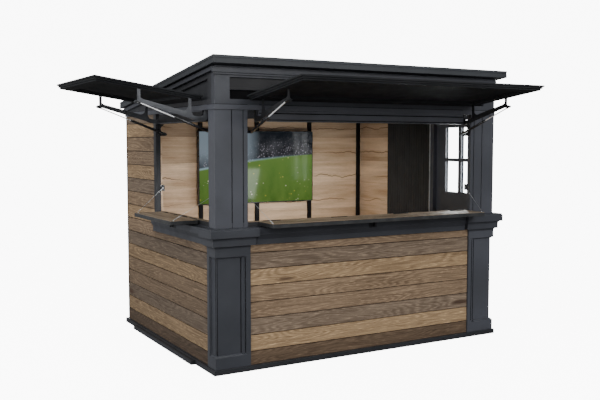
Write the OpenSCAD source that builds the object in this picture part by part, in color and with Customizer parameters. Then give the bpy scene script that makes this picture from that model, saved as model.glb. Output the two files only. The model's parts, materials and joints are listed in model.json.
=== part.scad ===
// Bar shed: a small timber kiosk with serving counters on its front and left sides,
// a lift-up flap over each, fold-up shelves, a half-glazed door and a pent roof.
// Millimetres, +Z up. Origin at the middle of the base, on the ground. Front faces -Y.

/* [Overall] */
// length of the base along the front
shed_width = 2925; // [2400:5:3600]
// depth of the base from front to back
shed_depth = 2250; // [1850:5:2750]
// height of the roof's top at its front edge
roof_top = 2500; // [2440:5:2700]
// fall of the roof towards the back, in degrees
roof_fall = 6.5; // [3:0.5:7]
// gap left between pieces that meet without touching
seat = 0.3; // [0.1:0.1:0.8]
// clearance around moving pieces
clear = 5; // [4:0.5:8]

/* [Walls] */
// height of the base frame
base_height = 42; // [30:1:60]
// width of the base frame's timbers
base_width = 140; // [120:5:180]
// thickness of the floor's top boards
floor_boards = 18; // [12:1:25]
// distance from the base's edge to the inside face of the walls
wall_inner = 105; // [95:1:125]
// distance from the base's edge to the wall core, under the cladding boards
wall_outer = 47; // [40:1:55]
// thickness of the oak lining
lining = 18; // [10:1:22]
// height of the top of the lower walls
wall_top = 1017; // [950:1:1060]
// length of the bar that sticks out under the left side
skid_length = 1490; // [900:10:1700]

/* [Corner pilasters] */
// width of a pilaster on the front
pilaster_width = 325; // [260:1:380]
// width of the left pilaster's return
pilaster_return = 172; // [150:1:200]
// distance from the base's edge to the pilaster's frame
pilaster_face = 14; // [8:1:20]
// depth of the pilaster's sunk shaft
shaft_depth = 22; // [10:1:28]
// height of the top of the pilaster's foot
foot_top = 135; // [110:1:170]
// height of the top of the sunk shaft
shaft_top = 932; // [850:1:960]

/* [Capitals] */
// height of the capital's underside
capital_bottom = 1020; // [960:1:1070]
// height of the capital's upper band
capital_band = 71; // [55:1:90]
// height of the counter that carries the sill
counter_top = 1160; // [1120:1:1200]
// how far the capital's upper band stands out past the base
capital_out = 45; // [30:1:55]
// length of the capital on the front
capital_length = 380; // [340:1:420]
// length of the left capital's return
capital_return = 200; // [185:1:240]

/* [Upper posts] */
// distance from the base's edge to the post's face
post_face = 24; // [20:1:30]
// distance from the base's edge to the inside face of the posts
post_inner = 70; // [60:1:90]
// width of the post on the front, up to the opening
post_width = 308; // [280:1:350]
// width of the left post's return, up to the side opening
post_return = 165; // [150:1:185]
// far end of the left opening
left_opening_end = 1353; // [1250:1:1500]
// width of the jamb post at the far end of the left opening
jamb_width = 61; // [45:1:75]

/* [Headers and roof] */
// height of the underside of the headers
header_bottom = 2000; // [1980:1:2040]
// height of the underside of the band over the posts
band_bottom = 2089; // [2075:1:2100]
// height of the top of that band
band_top = 2128; // [2110:1:2140]
// thickness of the band
band_thick = 12; // [8:1:14]
// thickness of the front and left friezes
frieze_thick = 60; // [40:1:75]
// width of a pilaster on the friezes
frieze_pilaster = 132; // [100:1:160]
// depth of the friezes' sunk panel
frieze_sunk = 20; // [8:1:25]
// thickness of the roof
roof_thick = 62; // [50:1:85]
// roof overhang in front
overhang_front = 65; // [40:1:90]
// roof overhang on the left
overhang_left = 24; // [10:1:50]
// roof overhang on the right
overhang_right = 45; // [10:1:60]
// roof overhang at the back
overhang_back = 18; // [5:1:50]

/* [Flaps] */
// pivot of a flap: distance inward from the base's edge
pivot_in = 50; // [46:1:54]
// pivot of a flap: height
pivot_height = 2120; // [2115:1:2124]
// tilt of the open front flap above level, in degrees
front_tilt = 7; // [5:0.5:10]
// tilt of the open left flap above level, in degrees
left_tilt = 8.5; // [5:0.5:10]
// distance from the pivot to the flap's near edge
flap_near = 56; // [50:1:64]
// distance from the pivot to the flap's far edge
flap_far = 920; // [850:1:930]
// distance from the pivot up to the flap's underside
flap_rise = 37; // [36:1:44]
// thickness of the flap's rim
flap_thick = 40; // [35:1:50]
// how far the flap's top edge stands out past its underside
flap_crown = 24; // [12:1:28]
// thickness of the flap's panel
flap_panel = 18; // [12:1:25]
// width of the flap's rim
flap_rim = 115; // [100:1:130]
// how far the front flap laps over each post
flap_lap = 15; // [5:1:30]
// distance from the post to the left flap's near end
left_flap_gap = 49; // [40:1:55]
// how far the left flap laps over the far jamb
left_flap_lap = 32; // [10:1:40]
// thickness of an arm plate
arm_thick = 8; // [5:1:10]
// distance from the jamb to the arm plate
arm_in = 74; // [72:1:78]
// width of the pocket in the header that an arm passes through
pocket = 97; // [95:1:120]
// radius of the flap pivot pins
pin_r = 5; // [4:0.5:6]
// radial clearance of every pin in its eye
pin_fit = 0.3; // [0.2:0.05:0.5]

/* [Struts] */
// distance from the jamb to the middle of a strut
strut_in = 56; // [54:0.5:57]
// radius of a strut's cylinder
strut_r = 11; // [8:0.5:11]
// radius of a strut's rod
rod_r = 5; // [4:0.5:6]
// jamb pivot of a strut: distance inward
jamb_pivot_in = 75; // [70:1:80]
// jamb pivot of a strut: height
jamb_pivot_height = 1915; // [1910:1:1920]
// arm pivot of a strut: distance outward from the base's edge
arm_pivot_out = 527; // [520:1:530]
// arm pivot of a strut: height
arm_pivot_height = 2143; // [2140:1:2146]
// length of a strut's cylinder, from the jamb pivot
cylinder_length = 325; // [290:1:330]

/* [Shelves] */
// thickness of the sill boards
sill_thick = 38; // [30:1:45]
// how far the sill boards reach inward from the base's edge
sill_inner = 115; // [106:1:160]
// distance from the base's edge inward to the shelf hinge
hinge_in = 57.5; // [56:0.5:60]
// thickness of a shelf
shelf_thick = 35; // [25:1:35]
// width of a shelf
shelf_width = 245; // [200:1:260]
// distance from the base's corner to the near end of the front shelf
front_shelf_start = 420; // [370:1:460]
// distance from the base's corner to the near end of the left shelf
left_shelf_start = 430; // [300:1:460]
// gap between a shelf's far end and the jamb
shelf_end_gap = 8; // [8:1:30]
// radius of the shelf cables
cable_r = 1.5; // [1:0.25:2.5]
// height of the cable anchors
anchor_height = 1415; // [1390:1:1420]
// distance inward from the base's edge to the cable anchors
anchor_in = 82; // [80:1:86]

/* [Inside] */
// depth of the wall battens
batten_depth = 22; // [15:1:30]
// width of the wall battens
batten_width = 46; // [35:1:55]
// length of the screen
tv_width = 1378; // [1200:5:1450]
// height of the screen
tv_height = 775; // [700:5:820]
// thickness of the screen
tv_thick = 50; // [35:1:60]
// height of the screen's lower edge
tv_bottom = 1180; // [1100:5:1220]
// distance from the base's front edge to the oak lining on the right wall
right_oak_start = 1612; // [1300:1:1700]

/* [Door] */
// distance from the base's front edge to the door's rear jamb
door_end = 815; // [760:1:860]
// width of the door's rear jamb
door_jamb = 55; // [50:1:90]
// height of the underside of the door's head
door_head = 2055; // [2040:1:2065]
// thickness of the door leaf
leaf_thick = 40; // [35:1:45]
// width of the leaf's stiles
stile = 138; // [110:1:150]
// height of the lower edge of the panes
pane_bottom = 1334; // [1250:1:1400]
// height of the upper edge of the panes
pane_top = 1981; // [1900:1:1990]
// width of the upright bar between the panes
bar_width = 40; // [25:1:50]
// height of the cross bar between the panes
bar_height = 32; // [20:1:40]

/* [Hidden] */
$fn = 32;

W = shed_width;
D = shed_depth;
wall_core = wall_inner - lining;
left_far = left_opening_end;
floor_top = base_height + floor_boards;
sill_top = counter_top + sill_thick;
shelf_top = sill_top;
hinge_height = sill_top + 3;
lift = tan(roof_fall);
strut_angle = atan2(arm_pivot_height - jamb_pivot_height, -arm_pivot_out - jamb_pivot_in);
strut_length = norm([arm_pivot_height - jamb_pivot_height, arm_pivot_out + jamb_pivot_in]);
strut_travel = strut_length - min(closed_length(front_tilt), closed_length(left_tilt));
front_shelf_end = W - post_width - shelf_end_gap;
left_shelf_end = left_far - shelf_end_gap;
door_start = wall_inner + clear;
leaf_end = door_end - clear;
leaf_face = W - post_face;
door_axis = [leaf_face + 7, leaf_end + 2];
leaf_bottom = floor_top + clear;
leaf_top = door_head - clear;

// height of the roof's underside at a distance back from the base's front edge
function under_roof(y) = roof_top - roof_thick - (overhang_front + y) * lift;

// length of a strut once its flap has turned down from the open tilt to upright
function closed_length(tilt) =
  let (
    a = [-arm_pivot_out - pivot_in, arm_pivot_height - pivot_height],
    c = -sin(tilt),
    s = cos(tilt)
  )
  norm([
    pivot_in + a[0] * c - a[1] * s - jamb_pivot_in,
    pivot_height + a[0] * s + a[1] * c - jamb_pivot_height
  ]);

// moves the shed from its front left corner to the middle of its base
module shed() { translate([-W / 2, -D / 2, 0]) children(); }

// a box given by its limits
module span(x0, x1, y0, y1, z0, z1) {
  translate([x0, y0, z0]) cube([x1 - x0, y1 - y0, z1 - z0]);
}

// a section drawn inward and up, run along the front
module along_front(x0, x1) {
  translate([x0, 0, 0]) rotate([90, 0, 90]) linear_extrude(x1 - x0) children();
}

// the same section run along the left side
module along_left(y0, y1) {
  translate([0, y1, 0]) rotate([90, 0, 0]) linear_extrude(y1 - y0) children();
}

// swaps the front for the left side: what lies along x then lies along y
module to_left() { mirror([1, -1, 0]) children(); }

// copies a piece to the other end of an opening
module both_ends(middle) {
  children();
  translate([2 * middle, 0, 0]) mirror([1, 0, 0]) children();
}

// everything under the roof
module below_roof() {
  along_front(-200, W + 200)
    polygon([[-200, 0], [D + 200, 0], [D + 200, under_roof(D + 200)], [-200, under_roof(-200)]]);
}

// ---- base ----

module base_frame() {
  color("#24262a") shed() {
    span(0, W, 0, base_width, 0, base_height);
    span(0, W, D - base_width, D, 0, base_height);
    span(0, base_width, base_width + seat, D - base_width - seat, 0, base_height);
    span(W - base_width, W, base_width + seat, D - base_width - seat, 0, base_height);
  }
}

module floor() {
  color("#8a6a48") shed() {
    span(base_width + seat, W - base_width - seat, base_width + seat, D - base_width - seat,
      0, base_height);
    span(wall_inner + seat, W - wall_inner - seat, wall_inner + seat, D - wall_inner - seat,
      base_height, floor_top);
  }
}

module skid_bar() {
  skid_start = (D - skid_length) / 2;
  color("#24262a") shed()
    span(-38, 0, skid_start + 20, skid_start + 20 + skid_length, 0, 38);
}

// ---- corner pilasters and their capitals ----

// an L-shaped corner block, with its return on the left
module corner_block(face, length, back, z0, z1) {
  span(face, length, face, wall_inner, z0, z1);
  span(face, wall_inner, face, back, z0, z1);
}

// the sunk shaft that wraps round a pilaster's corner, stepped down beside each stile
module sunk_shaft(back) {
  f = pilaster_face;
  d = shaft_depth;
  e = pilaster_width - 36;
  r = back - 40;
  translate([0, 0, foot_top]) linear_extrude(shaft_top - foot_top)
    polygon([
      [f - 1, f - 1], [e, f - 1], [e, f], [e - 6, f + d / 3], [e - 14, f + d / 3],
      [e - 20, f + d * 2 / 3], [e - 34, f + d * 2 / 3], [e - 40, f + d], [f + d, f + d],
      [f + d, r - 6], [f, r], [f - 1, r]
    ]);
}

module pilaster(back) {
  difference() {
    corner_block(pilaster_face, pilaster_width, back, base_height, capital_bottom - seat);
    sunk_shaft(back);
  }
}

module pilaster_left() { color("#2c2f33") shed() pilaster(pilaster_return); }

module pilaster_right() {
  color("#2c2f33") shed() translate([W, 0, 0]) mirror([1, 0, 0]) pilaster(wall_inner);
}

module capital(back, out_back) {
  step = counter_top - capital_band;
  difference() {
    union() {
      corner_block(-pilaster_face, capital_length - 16, back - 12, capital_bottom, step);
      span(-capital_out, capital_length, -capital_out, wall_inner, step, counter_top);
      span(-capital_out, wall_inner, -capital_out, back, step, counter_top);
    }
    translate([0, 0, counter_top - 12]) linear_extrude(20) difference() {
      square([9000, 9000], center = true);
      translate([-capital_out + 6, -capital_out + 6]) square([9000, 9000]);
    }
  }
}

module capital_left() { color("#2c2f33") shed() capital(capital_return); }

module capital_right() {
  color("#2c2f33") shed() translate([W, 0, 0]) mirror([1, 0, 0]) capital(wall_inner);
}

// ---- walls ----

module front_wall() {
  color("#6b4f38") shed()
    span(pilaster_width + seat, W - pilaster_width - seat, wall_outer, wall_inner,
      base_height, wall_top);
}

module left_wall() {
  color("#6b4f38") shed() {
    span(wall_outer, wall_core, pilaster_return + seat, D - wall_outer, base_height, wall_top);
  }
}

module left_wall_rear_upper() {
  color("#6b4f38") shed()
    span(wall_outer, wall_core, left_far + jamb_width + seat, D - wall_outer,
      wall_top + seat, band_bottom);
}

module back_wall() {
  color("#6b4f38") shed()
    span(wall_core + seat, W - wall_core - seat, D - wall_core, D - wall_outer,
      base_height, band_bottom);
}

module right_wall_rear() {
  color("#6b4f38") shed()
    span(W - wall_core, W - wall_outer, door_end + door_jamb + seat, D - wall_outer,
      base_height, band_bottom);
}

// a thin angle over each rear corner, closing the ends of the cladding
module corner_trims() {
  color("#24262a") shed() both_ends(W / 2) {
    span(post_face, 60, D - 33, D - post_face, base_height, band_bottom);
    span(wall_outer, 60, D - wall_outer, D - 33, base_height, band_bottom);
  }
}

// a board under each counter that leans out to a square nosing
module apron_section() {
  top = counter_top - 8;
  polygon([
    [wall_inner, wall_top + seat], [wall_inner, counter_top], [hinge_in + 4, counter_top],
    [hinge_in + 4, top], [-12, top], [-12, top - 54], [8, top - 92], [8, wall_top + seat]
  ]);
}

module aprons() {
  color("#2c2f33") shed() {
    along_front(capital_length + seat, W - capital_length - seat) apron_section();
    along_left(capital_return + seat, left_far + jamb_width) apron_section();
  }
}

// ---- posts, headers and friezes ----

module post(back) {
  f = post_face;
  z0 = counter_top;
  z1 = band_bottom;
  difference() {
    union() {
      span(f, post_width, f, post_inner, z0, z1);
      span(f, post_inner, f, back, z0, z1);
    }
    for (x = [post_width - 42, f + 143])
      span(x, x + 7, f - 1, f + 6, z0 - 1, z1 + 1);
  }
}

module post_left() {
  color("#2c2f33") shed() difference() {
    post(post_return);
    span(post_face - 1, post_face + 8, post_return - 16, post_return + 1, 0, band_bottom + 1);
  }
}

module post_right() {
  color("#2c2f33") shed() translate([W, 0, 0]) mirror([1, 0, 0]) post(wall_inner);
}

module left_jamb() {
  color("#2c2f33") shed()
    span(post_face, post_inner, left_far, left_far + jamb_width, counter_top, band_bottom);
}

// the pockets at both ends of an opening that let the flap's arms through
module pockets(start, end) {
  both_ends((start + end) / 2)
    span(start, start + pocket, 33, 400, header_bottom - 1, band_top + 22);
}

module front_header() {
  a = post_width + seat;
  color("#2c2f33") shed() difference() {
    union() {
      span(post_face + band_thick - 9 + seat, W - post_face, post_face + band_thick - 9 + seat,
        wall_inner, band_bottom, band_top);
      span(a, W - a, post_face, wall_inner, header_bottom, band_bottom);
      span(a, W - a, post_face - 6, post_face, header_bottom + 17, header_bottom + 60);
    }
    both_ends(W / 2)
      span(post_width, post_width + pocket, 0, 400, header_bottom - 1, band_top + 1);
  }
}

module left_header() {
  a = post_return + seat;
  middle = (post_return + left_far) / 2;
  color("#2c2f33") shed() to_left() difference() {
    union() {
      span(wall_inner + seat, D - post_face, post_face + band_thick - 9 + seat, wall_inner,
        band_bottom, band_top);
      span(a, left_far - seat, post_face, wall_inner, header_bottom, band_bottom);
      span(a, left_far - seat, post_face - 6, post_face, header_bottom + 17, header_bottom + 60);
    }
    both_ends(middle)
      span(post_return, post_return + pocket, 0, 400, header_bottom - 1, band_top + 1);
  }
}

module architrave() {
  f = post_face - 9;
  color("#2c2f33") shed() {
    span(f, W - post_face, f, f + band_thick, band_bottom, band_top);
    span(f, f + band_thick, f, D - post_face, band_bottom, band_top);
  }
}

module front_frieze() {
  f = post_face;
  color("#2c2f33") shed() intersection() {
    below_roof();
    difference() {
      span(f, W - f, f, f + frieze_thick, band_top, roof_top);
      span(f + frieze_pilaster, W - f - frieze_pilaster, f - 1, f + frieze_sunk,
        band_top + 43, band_top + 213);
      span(f + frieze_pilaster, W - f - frieze_pilaster, f - 1, f + frieze_sunk + 15,
        band_top + 43, band_top + 116);
      both_ends(W / 2)
        span(post_width, post_width + pocket, f + 9, 400, band_top - 1, band_top + 22);
    }
  }
}

module left_frieze() {
  f = post_face;
  y0 = f + frieze_thick + seat;
  middle = (post_return + left_far) / 2;
  color("#2c2f33") shed() intersection() {
    below_roof();
    difference() {
      span(f, f + frieze_thick, y0, D - f, band_top, roof_top);
      intersection() {
        translate([0, 0, -84]) below_roof();
        span(f - 1, f + frieze_sunk, f + frieze_pilaster, D - f - frieze_pilaster,
          band_top + 43, roof_top);
      }
      to_left() both_ends(middle)
        span(post_return, post_return + pocket, f + 9, 400, band_top - 1, band_top + 22);
    }
  }
}

module right_frieze() {
  color("#2c2f33") shed() intersection() {
    below_roof();
    union() {
      span(W - post_face - frieze_thick, W - post_face, post_face + frieze_thick + seat,
        D - post_face, band_top + seat, roof_top);
      span(W - wall_inner, W - post_face, wall_inner + seat, D - post_face,
        band_bottom, band_top + seat);
    }
  }
}

module back_frieze() {
  color("#2c2f33") shed() intersection() {
    below_roof();
    span(wall_inner + seat, W - wall_inner - seat, D - wall_inner, D - post_face,
      band_bottom, roof_top);
  }
}

// the moulding under the roof, on the front and the left
module cornice() {
  f = post_face;
  color("#2c2f33") shed() {
    intersection() {
      union() {
        span(f - 24, W - f, f - 24, f, band_top + 246, band_top + 284);
        span(f - 14, W - f, f - 14, f, band_top + 230, band_top + 246);
      }
      below_roof();
    }
    intersection() {
      translate([0, 0, -8]) below_roof();
      difference() {
        span(f - 24, f, f + seat, D - f, band_top, roof_top);
        translate([0, 0, -42]) below_roof();
      }
    }
  }
}

module roof() {
  y0 = -overhang_front;
  y1 = D + overhang_back;
  x0 = -overhang_left;
  x1 = W + overhang_right;
  color("#33363b") shed() difference() {
    along_front(x0, x1)
      polygon([[y0, under_roof(y0)], [y1, under_roof(y1)], [y1, under_roof(y1) + roof_thick],
        [y0, roof_top]]);
    along_front(x0 - 1, x1 + 1)
      polygon([[y0 - 1, roof_top - 27], [y0 + 5, roof_top - 27], [y0 + 5, roof_top - 22],
        [y0 - 1, roof_top - 22]]);
    for (x = [x0 - 1, x1 - 5])
      along_front(x, x + 6)
        polygon([[y0 - 1, under_roof(y0 - 1) + roof_thick - 27],
          [y1 + 1, under_roof(y1 + 1) + roof_thick - 27],
          [y1 + 1, under_roof(y1 + 1) + roof_thick - 22],
          [y0 - 1, under_roof(y0 - 1) + roof_thick - 22]]);
  }
}

// ---- sills, hinges and the counter's fittings ----

module sills() {
  a = hinge_in + 2.5;
  color("#a98a66") shed() {
    span(post_width + seat, W - post_width - seat, a, sill_inner, counter_top, sill_top);
    to_left()
      span(post_return + seat, left_far - seat, a, sill_inner, counter_top, sill_top);
  }
}

// the knuckles that each shelf turns on
module knuckles(start, end) {
  step = (end - start - 160) / 3;
  for (k = [0:3])
    translate([start + k * step, hinge_in, hinge_height]) rotate([0, 90, 0])
      cylinder(h = 160, r = 3.4);
}

module shelf_hinges() {
  color("#1c1d1f") shed() {
    knuckles(front_shelf_start + 40, front_shelf_end - 40);
    to_left() knuckles(left_shelf_start + 40, left_shelf_end - 40);
  }
}

// an angle under the middle of the front shelf
module shelf_bracket() {
  x = W / 2 + 25;
  color("#1c1d1f") shed() {
    span(x - 40, x + 40, -16, -12, counter_top - 60, counter_top - 8);
    span(x - 40, x + 40, -70, -16, counter_top - 12, counter_top - 8);
    span(x - 3, x + 3, -50, -16, counter_top - 50, counter_top - 12);
  }
}

// ---- inside ----

module oak_linings() {
  color("#d9b98c") shed() {
    span(wall_core + seat, W - wall_core - seat, D - wall_inner, D - wall_core - seat,
      base_height, band_bottom);
    span(W - wall_inner, W - wall_core - seat, right_oak_start, D - wall_inner - seat,
      base_height, band_bottom);
    span(wall_core + seat, wall_inner, left_far + jamb_width + seat, D - wall_inner - seat,
      base_height, band_bottom);
    span(wall_core + seat, wall_inner, pilaster_return + seat, left_far + jamb_width,
      base_height, wall_top);
  }
}

module battens() {
  y = D - wall_inner;
  step = (W - 2 * wall_inner - 70) / 4;
  color("#1c1d1f") shed()
    for (k = [0:4])
      span(wall_inner + seat + k * step, wall_inner + seat + k * step + batten_width,
        y - batten_depth, y, floor_top, band_bottom);
}

module grooved_panel() {
  color("#2a2b2d") shed()
    span(W - wall_inner, W - wall_core - seat, door_end + door_jamb + seat,
      right_oak_start - seat, base_height, band_bottom);
}

module tv() {
  y = D - wall_inner - batten_depth;
  x = W / 2 - 34;
  color("#101113") shed() {
    span(x - tv_width / 2, x + tv_width / 2, y - 8 - tv_thick, y - 8, tv_bottom,
      tv_bottom + tv_height);
    span(x - 250, x + 250, y - 8, y, tv_bottom + 250, tv_bottom + 500);
  }
}

// ---- flap mountings ----

// the pin that a flap arm turns on, held between the pocket's two sides
module flap_pin(jamb) {
  translate([jamb + seat / 2, pivot_in, pivot_height]) rotate([0, 90, 0])
    cylinder(h = pocket - seat, r = pin_r);
}

// the hooked plate on the jamb, its stand-off and the pin that a strut turns on
module strut_bracket(jamb) {
  b = jamb_pivot_height - 22;
  t = header_bottom - seat;
  along_front(jamb, jamb + 5)
    polygon([
      [38, t], [103, t], [92, t - 14], [76, t - 28], [71, t - 44], [74, b + 42],
      [88, b + 34], [112, b + 31], [126, b + 24], [131, b + 12], [127, b + 3], [118, b], [38, b]
    ]);
  translate([jamb, jamb_pivot_in, jamb_pivot_height]) rotate([0, 90, 0]) {
    cylinder(h = strut_in - 13, r = 9);
    cylinder(h = strut_in + 8, r = pin_r);
  }
}

module mountings(start, end) {
  both_ends((start + end) / 2) {
    flap_pin(start);
    strut_bracket(start);
  }
}

module flap_mountings() {
  color("#1c1d1f") shed() {
    mountings(post_width, W - post_width);
    to_left() mountings(post_return, left_far);
  }
}

module anchors(start, end) {
  both_ends((start + end) / 2)
    translate([start, anchor_in, anchor_height]) {
      translate([0, -22, -28]) cube([4, 44, 56]);
      rotate([0, 90, 0]) cylinder(h = 8, r = 7);
    }
}

module cable_anchors() {
  color("#1c1d1f") shed() {
    anchors(post_width, W - post_width);
    to_left() anchors(post_return, left_far);
  }
}

// ---- flaps ----

// turns a closed-up section about the flap's pivot to its open tilt:
// x runs from the pivot to the far edge, y up from the pivot
module open_section(tilt) {
  translate([pivot_in, pivot_height]) mirror([1, 0]) rotate(tilt) children();
}

// three layers, each standing out past the one below, and a panel sunk from underneath
module flap(x0, x1, tilt) {
  layer = (flap_thick - 14) / 2;
  difference() {
    for (k = [0:2]) {
      inset = flap_crown * (1 - k / 2);
      along_front(x0 + inset, x1 - inset) open_section(tilt)
        translate([flap_near - (k == 2 ? 5 : 0), flap_rise + k * layer])
          square([flap_far - inset - flap_near + (k == 2 ? 5 : 0), k == 2 ? 14 : layer]);
    }
    along_front(x0 + flap_rim, x1 - flap_rim) open_section(tilt)
      translate([flap_near + flap_rim, flap_rise - 1])
        square([flap_far - flap_near - 2 * flap_rim, flap_thick - flap_panel + 1]);
  }
}

// The flap arm, the hardest piece: a flat cut bar with two legs up to the flap and a
// goose-neck tail that dips under the band and climbs behind it to the pivot eye.
module arm_outline(tilt) {
  p = [pivot_in, pivot_height];
  q = [-arm_pivot_out, arm_pivot_height];
  difference() {
    offset(r = 7) offset(delta = -14) offset(r = 7) {
      polygon([
        [-515, p[1] + 130], [-515, p[1] + 38], q + [-6, 9], q + [3, -12], [-487, p[1] + 14],
        [-365, p[1] - 21], [-239, p[1] - 56], [-125, p[1] - 87], [-84, p[1] - 101],
        [-30, p[1] - 117], [12, p[1] - 122], [40, p[1] - 118], [57, p[1] - 100],
        [62, p[1] - 70], [p[0] + 13, p[1]], [p[0] - 13, p[1]], [33, p[1] - 40],
        [28, p[1] - 68], [10, p[1] - 82], [-30, p[1] - 80], [-63, p[1] - 72],
        [-77, p[1] - 45], [-77, p[1] + 90], [-101, p[1] + 90], [-101, p[1] - 2],
        [-109, p[1] - 22], [-124, p[1] - 34], [-145, p[1] - 37], [-471, p[1] + 44],
        [-491, p[1] + 56], [-491, p[1] + 130]
      ]);
      translate(p) circle(r = 13);
      translate(q) circle(r = 13);
    }
    translate(p) circle(r = pin_r + pin_fit);
    open_section(tilt) translate([-100, flap_rise - seat]) square([1500, 200]);
  }
}

module arms(start, end, tilt) {
  both_ends((start + end) / 2)
    along_front(start + arm_in, start + arm_in + arm_thick) arm_outline(tilt);
}

module front_flap() {
  color("#2a2d31") shed()
    flap(post_width - flap_lap, W - post_width + flap_lap, front_tilt);
}

module front_flap_arms() {
  color("#1c1d1f") shed() arms(post_width, W - post_width, front_tilt);
}

module left_flap() {
  color("#2a2d31") shed() to_left()
    flap(post_return + left_flap_gap, left_far + left_flap_lap, left_tilt);
}

module left_flap_arms() {
  color("#1c1d1f") shed() to_left() arms(post_return, left_far, left_tilt);
}

// ---- gas struts ----

// places a strut piece so that its own x axis runs from the jamb pivot to the arm pivot
module on_strut(jamb) {
  translate([jamb + strut_in, jamb_pivot_in, jamb_pivot_height])
    rotate([strut_angle, 0, 0]) children();
}

module eye(r) {
  rotate([0, 90, 0]) difference() {
    translate([0, 0, -7]) cylinder(h = 14, r = r);
    translate([0, 0, -8]) cylinder(h = 16, r = pin_r + pin_fit);
  }
}

module strut_cylinder(jamb) {
  on_strut(jamb) {
    eye(10);
    rotate([-90, 0, 0]) difference() {
      translate([0, 0, 8]) cylinder(h = cylinder_length - 8, r = strut_r);
      translate([0, 0, 12]) cylinder(h = cylinder_length, r = rod_r + 0.1);
      rotate([0, 90, 0]) translate([0, 0, -20]) cylinder(h = 40, r = 8);
    }
  }
}

// the rod carries the pin that points at the arm plate
module strut_rod(jamb) {
  reach = arm_in - strut_in - seat;
  on_strut(jamb) {
    translate([0, strut_travel + 16, 0]) rotate([-90, 0, 0])
      cylinder(h = strut_length - strut_travel - 22, r = rod_r);
    translate([0, strut_length, 0]) rotate([0, 90, 0]) {
      translate([0, 0, -7]) cylinder(h = 14, r = 9);
      cylinder(h = reach, r = pin_r);
    }
  }
}

module front_strut_cylinders() {
  color("#151617") shed() both_ends(W / 2) strut_cylinder(post_width);
}

module front_strut_rods() {
  color("#c8ccd0") shed() both_ends(W / 2) strut_rod(post_width);
}

module left_strut_cylinders() {
  color("#151617") shed() to_left() both_ends((post_return + left_far) / 2)
    strut_cylinder(post_return);
}

module left_strut_rods() {
  color("#c8ccd0") shed() to_left() both_ends((post_return + left_far) / 2)
    strut_rod(post_return);
}

// ---- shelves ----

module shelf(start, end) {
  inner = hinge_in - 2.5;
  span(start, end, inner - shelf_width, inner, shelf_top - shelf_thick, shelf_top);
}

module front_shelf() { color("#a98a66") shed() shelf(front_shelf_start, front_shelf_end); }

module left_shelf() {
  color("#a98a66") shed() to_left() shelf(left_shelf_start, left_shelf_end);
}

// a straight wire between two points
module wire(a, b) {
  d = b - a;
  translate(a) rotate([0, acos(d[2] / norm(d)), atan2(d[1], d[0])])
    cylinder(h = norm(d), r = cable_r);
}

// each cable runs from its anchor to an eye at the shelf's outer corner
module cables(start, end, jamb_start, jamb_end) {
  y = hinge_in - 2.5 - shelf_width + 30;
  x = [jamb_start + 8 + seat + cable_r, jamb_end - 8 - seat - cable_r];
  e = [start + 12, end - 12];
  for (k = [0, 1]) {
    wire([x[k], anchor_in, anchor_height], [e[k], y, shelf_top + 6]);
    translate([e[k], y, shelf_top]) cylinder(h = 8, r = 6);
  }
}

module front_shelf_cables() {
  color("#c8ccd0") shed()
    cables(front_shelf_start, front_shelf_end, post_width, W - post_width);
}

module left_shelf_cables() {
  color("#c8ccd0") shed() to_left()
    cables(left_shelf_start, left_shelf_end, post_return, left_far);
}

// ---- door ----

module door_frame() {
  x0 = W - wall_inner;
  y0 = wall_inner + seat;
  color("#2c2f33") shed() {
    span(x0, leaf_face, door_end, door_end + door_jamb, base_height, band_bottom);
    span(x0, leaf_face, y0, door_end, door_head, band_bottom);
    span(x0, leaf_face, y0, door_end, base_height, floor_top);
  }
}

module door_leaf() {
  x0 = leaf_face - leaf_thick;
  wide = (leaf_end - door_start - 2 * stile - bar_width) / 2;
  tall = (pane_top - pane_bottom - bar_height) / 2;
  color("#2a2d31") shed() difference() {
    span(x0, leaf_face, door_start, leaf_end, leaf_bottom, leaf_top);
    for (i = [0, 1], j = [0, 1])
      translate([x0 - 1, door_start + stile + i * (wide + bar_width),
        pane_bottom + j * (tall + bar_height)])
        cube([leaf_thick + 2, wide, tall]);
    span(x0 + leaf_thick / 2 - 2 - seat, x0 + leaf_thick / 2 + 2 + seat,
      door_start + stile - 8, leaf_end - stile + 8, pane_bottom - 8, pane_top + 8);
    for (i = [1:5])
      span(leaf_face - 4, leaf_face + 1, door_start + i * 116 - 3, door_start + i * 116 + 3,
        leaf_bottom - 1, pane_bottom - 100);
  }
}

module door_glass() {
  x0 = leaf_face - leaf_thick / 2 - 2;
  color([0.8, 0.9, 0.92, 0.3]) shed()
    span(x0, x0 + 4, door_start + stile - 7, leaf_end - stile + 7,
      pane_bottom - 7, pane_top + 7);
}

module door_handle() {
  y = door_start + 45;
  color("#b8bcc0") shed() translate([leaf_face, y, 1010]) {
    translate([0, -20, -90]) cube([6, 40, 180]);
    translate([6, 0, 40]) rotate([0, 90, 0]) cylinder(h = 44, r = 9);
    translate([44, -9, 31]) cube([14, 125, 18]);
  }
}

// a strap on the leaf with an eye that drops over the pintle
module door_hinges() {
  color("#1c1d1f") shed()
    for (z = [250, 1050, 1850]) translate([0, 0, z]) {
      difference() {
        union() {
          translate(door_axis) cylinder(h = 60, r = 6.5);
          span(leaf_face, leaf_face + 4, door_axis[1] - 130, door_axis[1] - 3, 10, 50);
        }
        translate([door_axis[0], door_axis[1], -1]) cylinder(h = 62, r = 3 + pin_fit);
      }
    }
}

module door_pintles() {
  color("#1c1d1f") shed()
    for (z = [250, 1050, 1850]) translate([0, 0, z]) {
      translate(door_axis) translate([0, 0, -12]) cylinder(h = 11.5, r = 6.5);
      translate(door_axis) translate([0, 0, -6]) cylinder(h = 60, r = 3);
      span(leaf_face, leaf_face + 5, door_end + 6, door_end + 60, -30, 20);
      span(leaf_face + 1, leaf_face + 5, door_axis[1], door_end + 7, -12, -0.5);
    }
}

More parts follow.
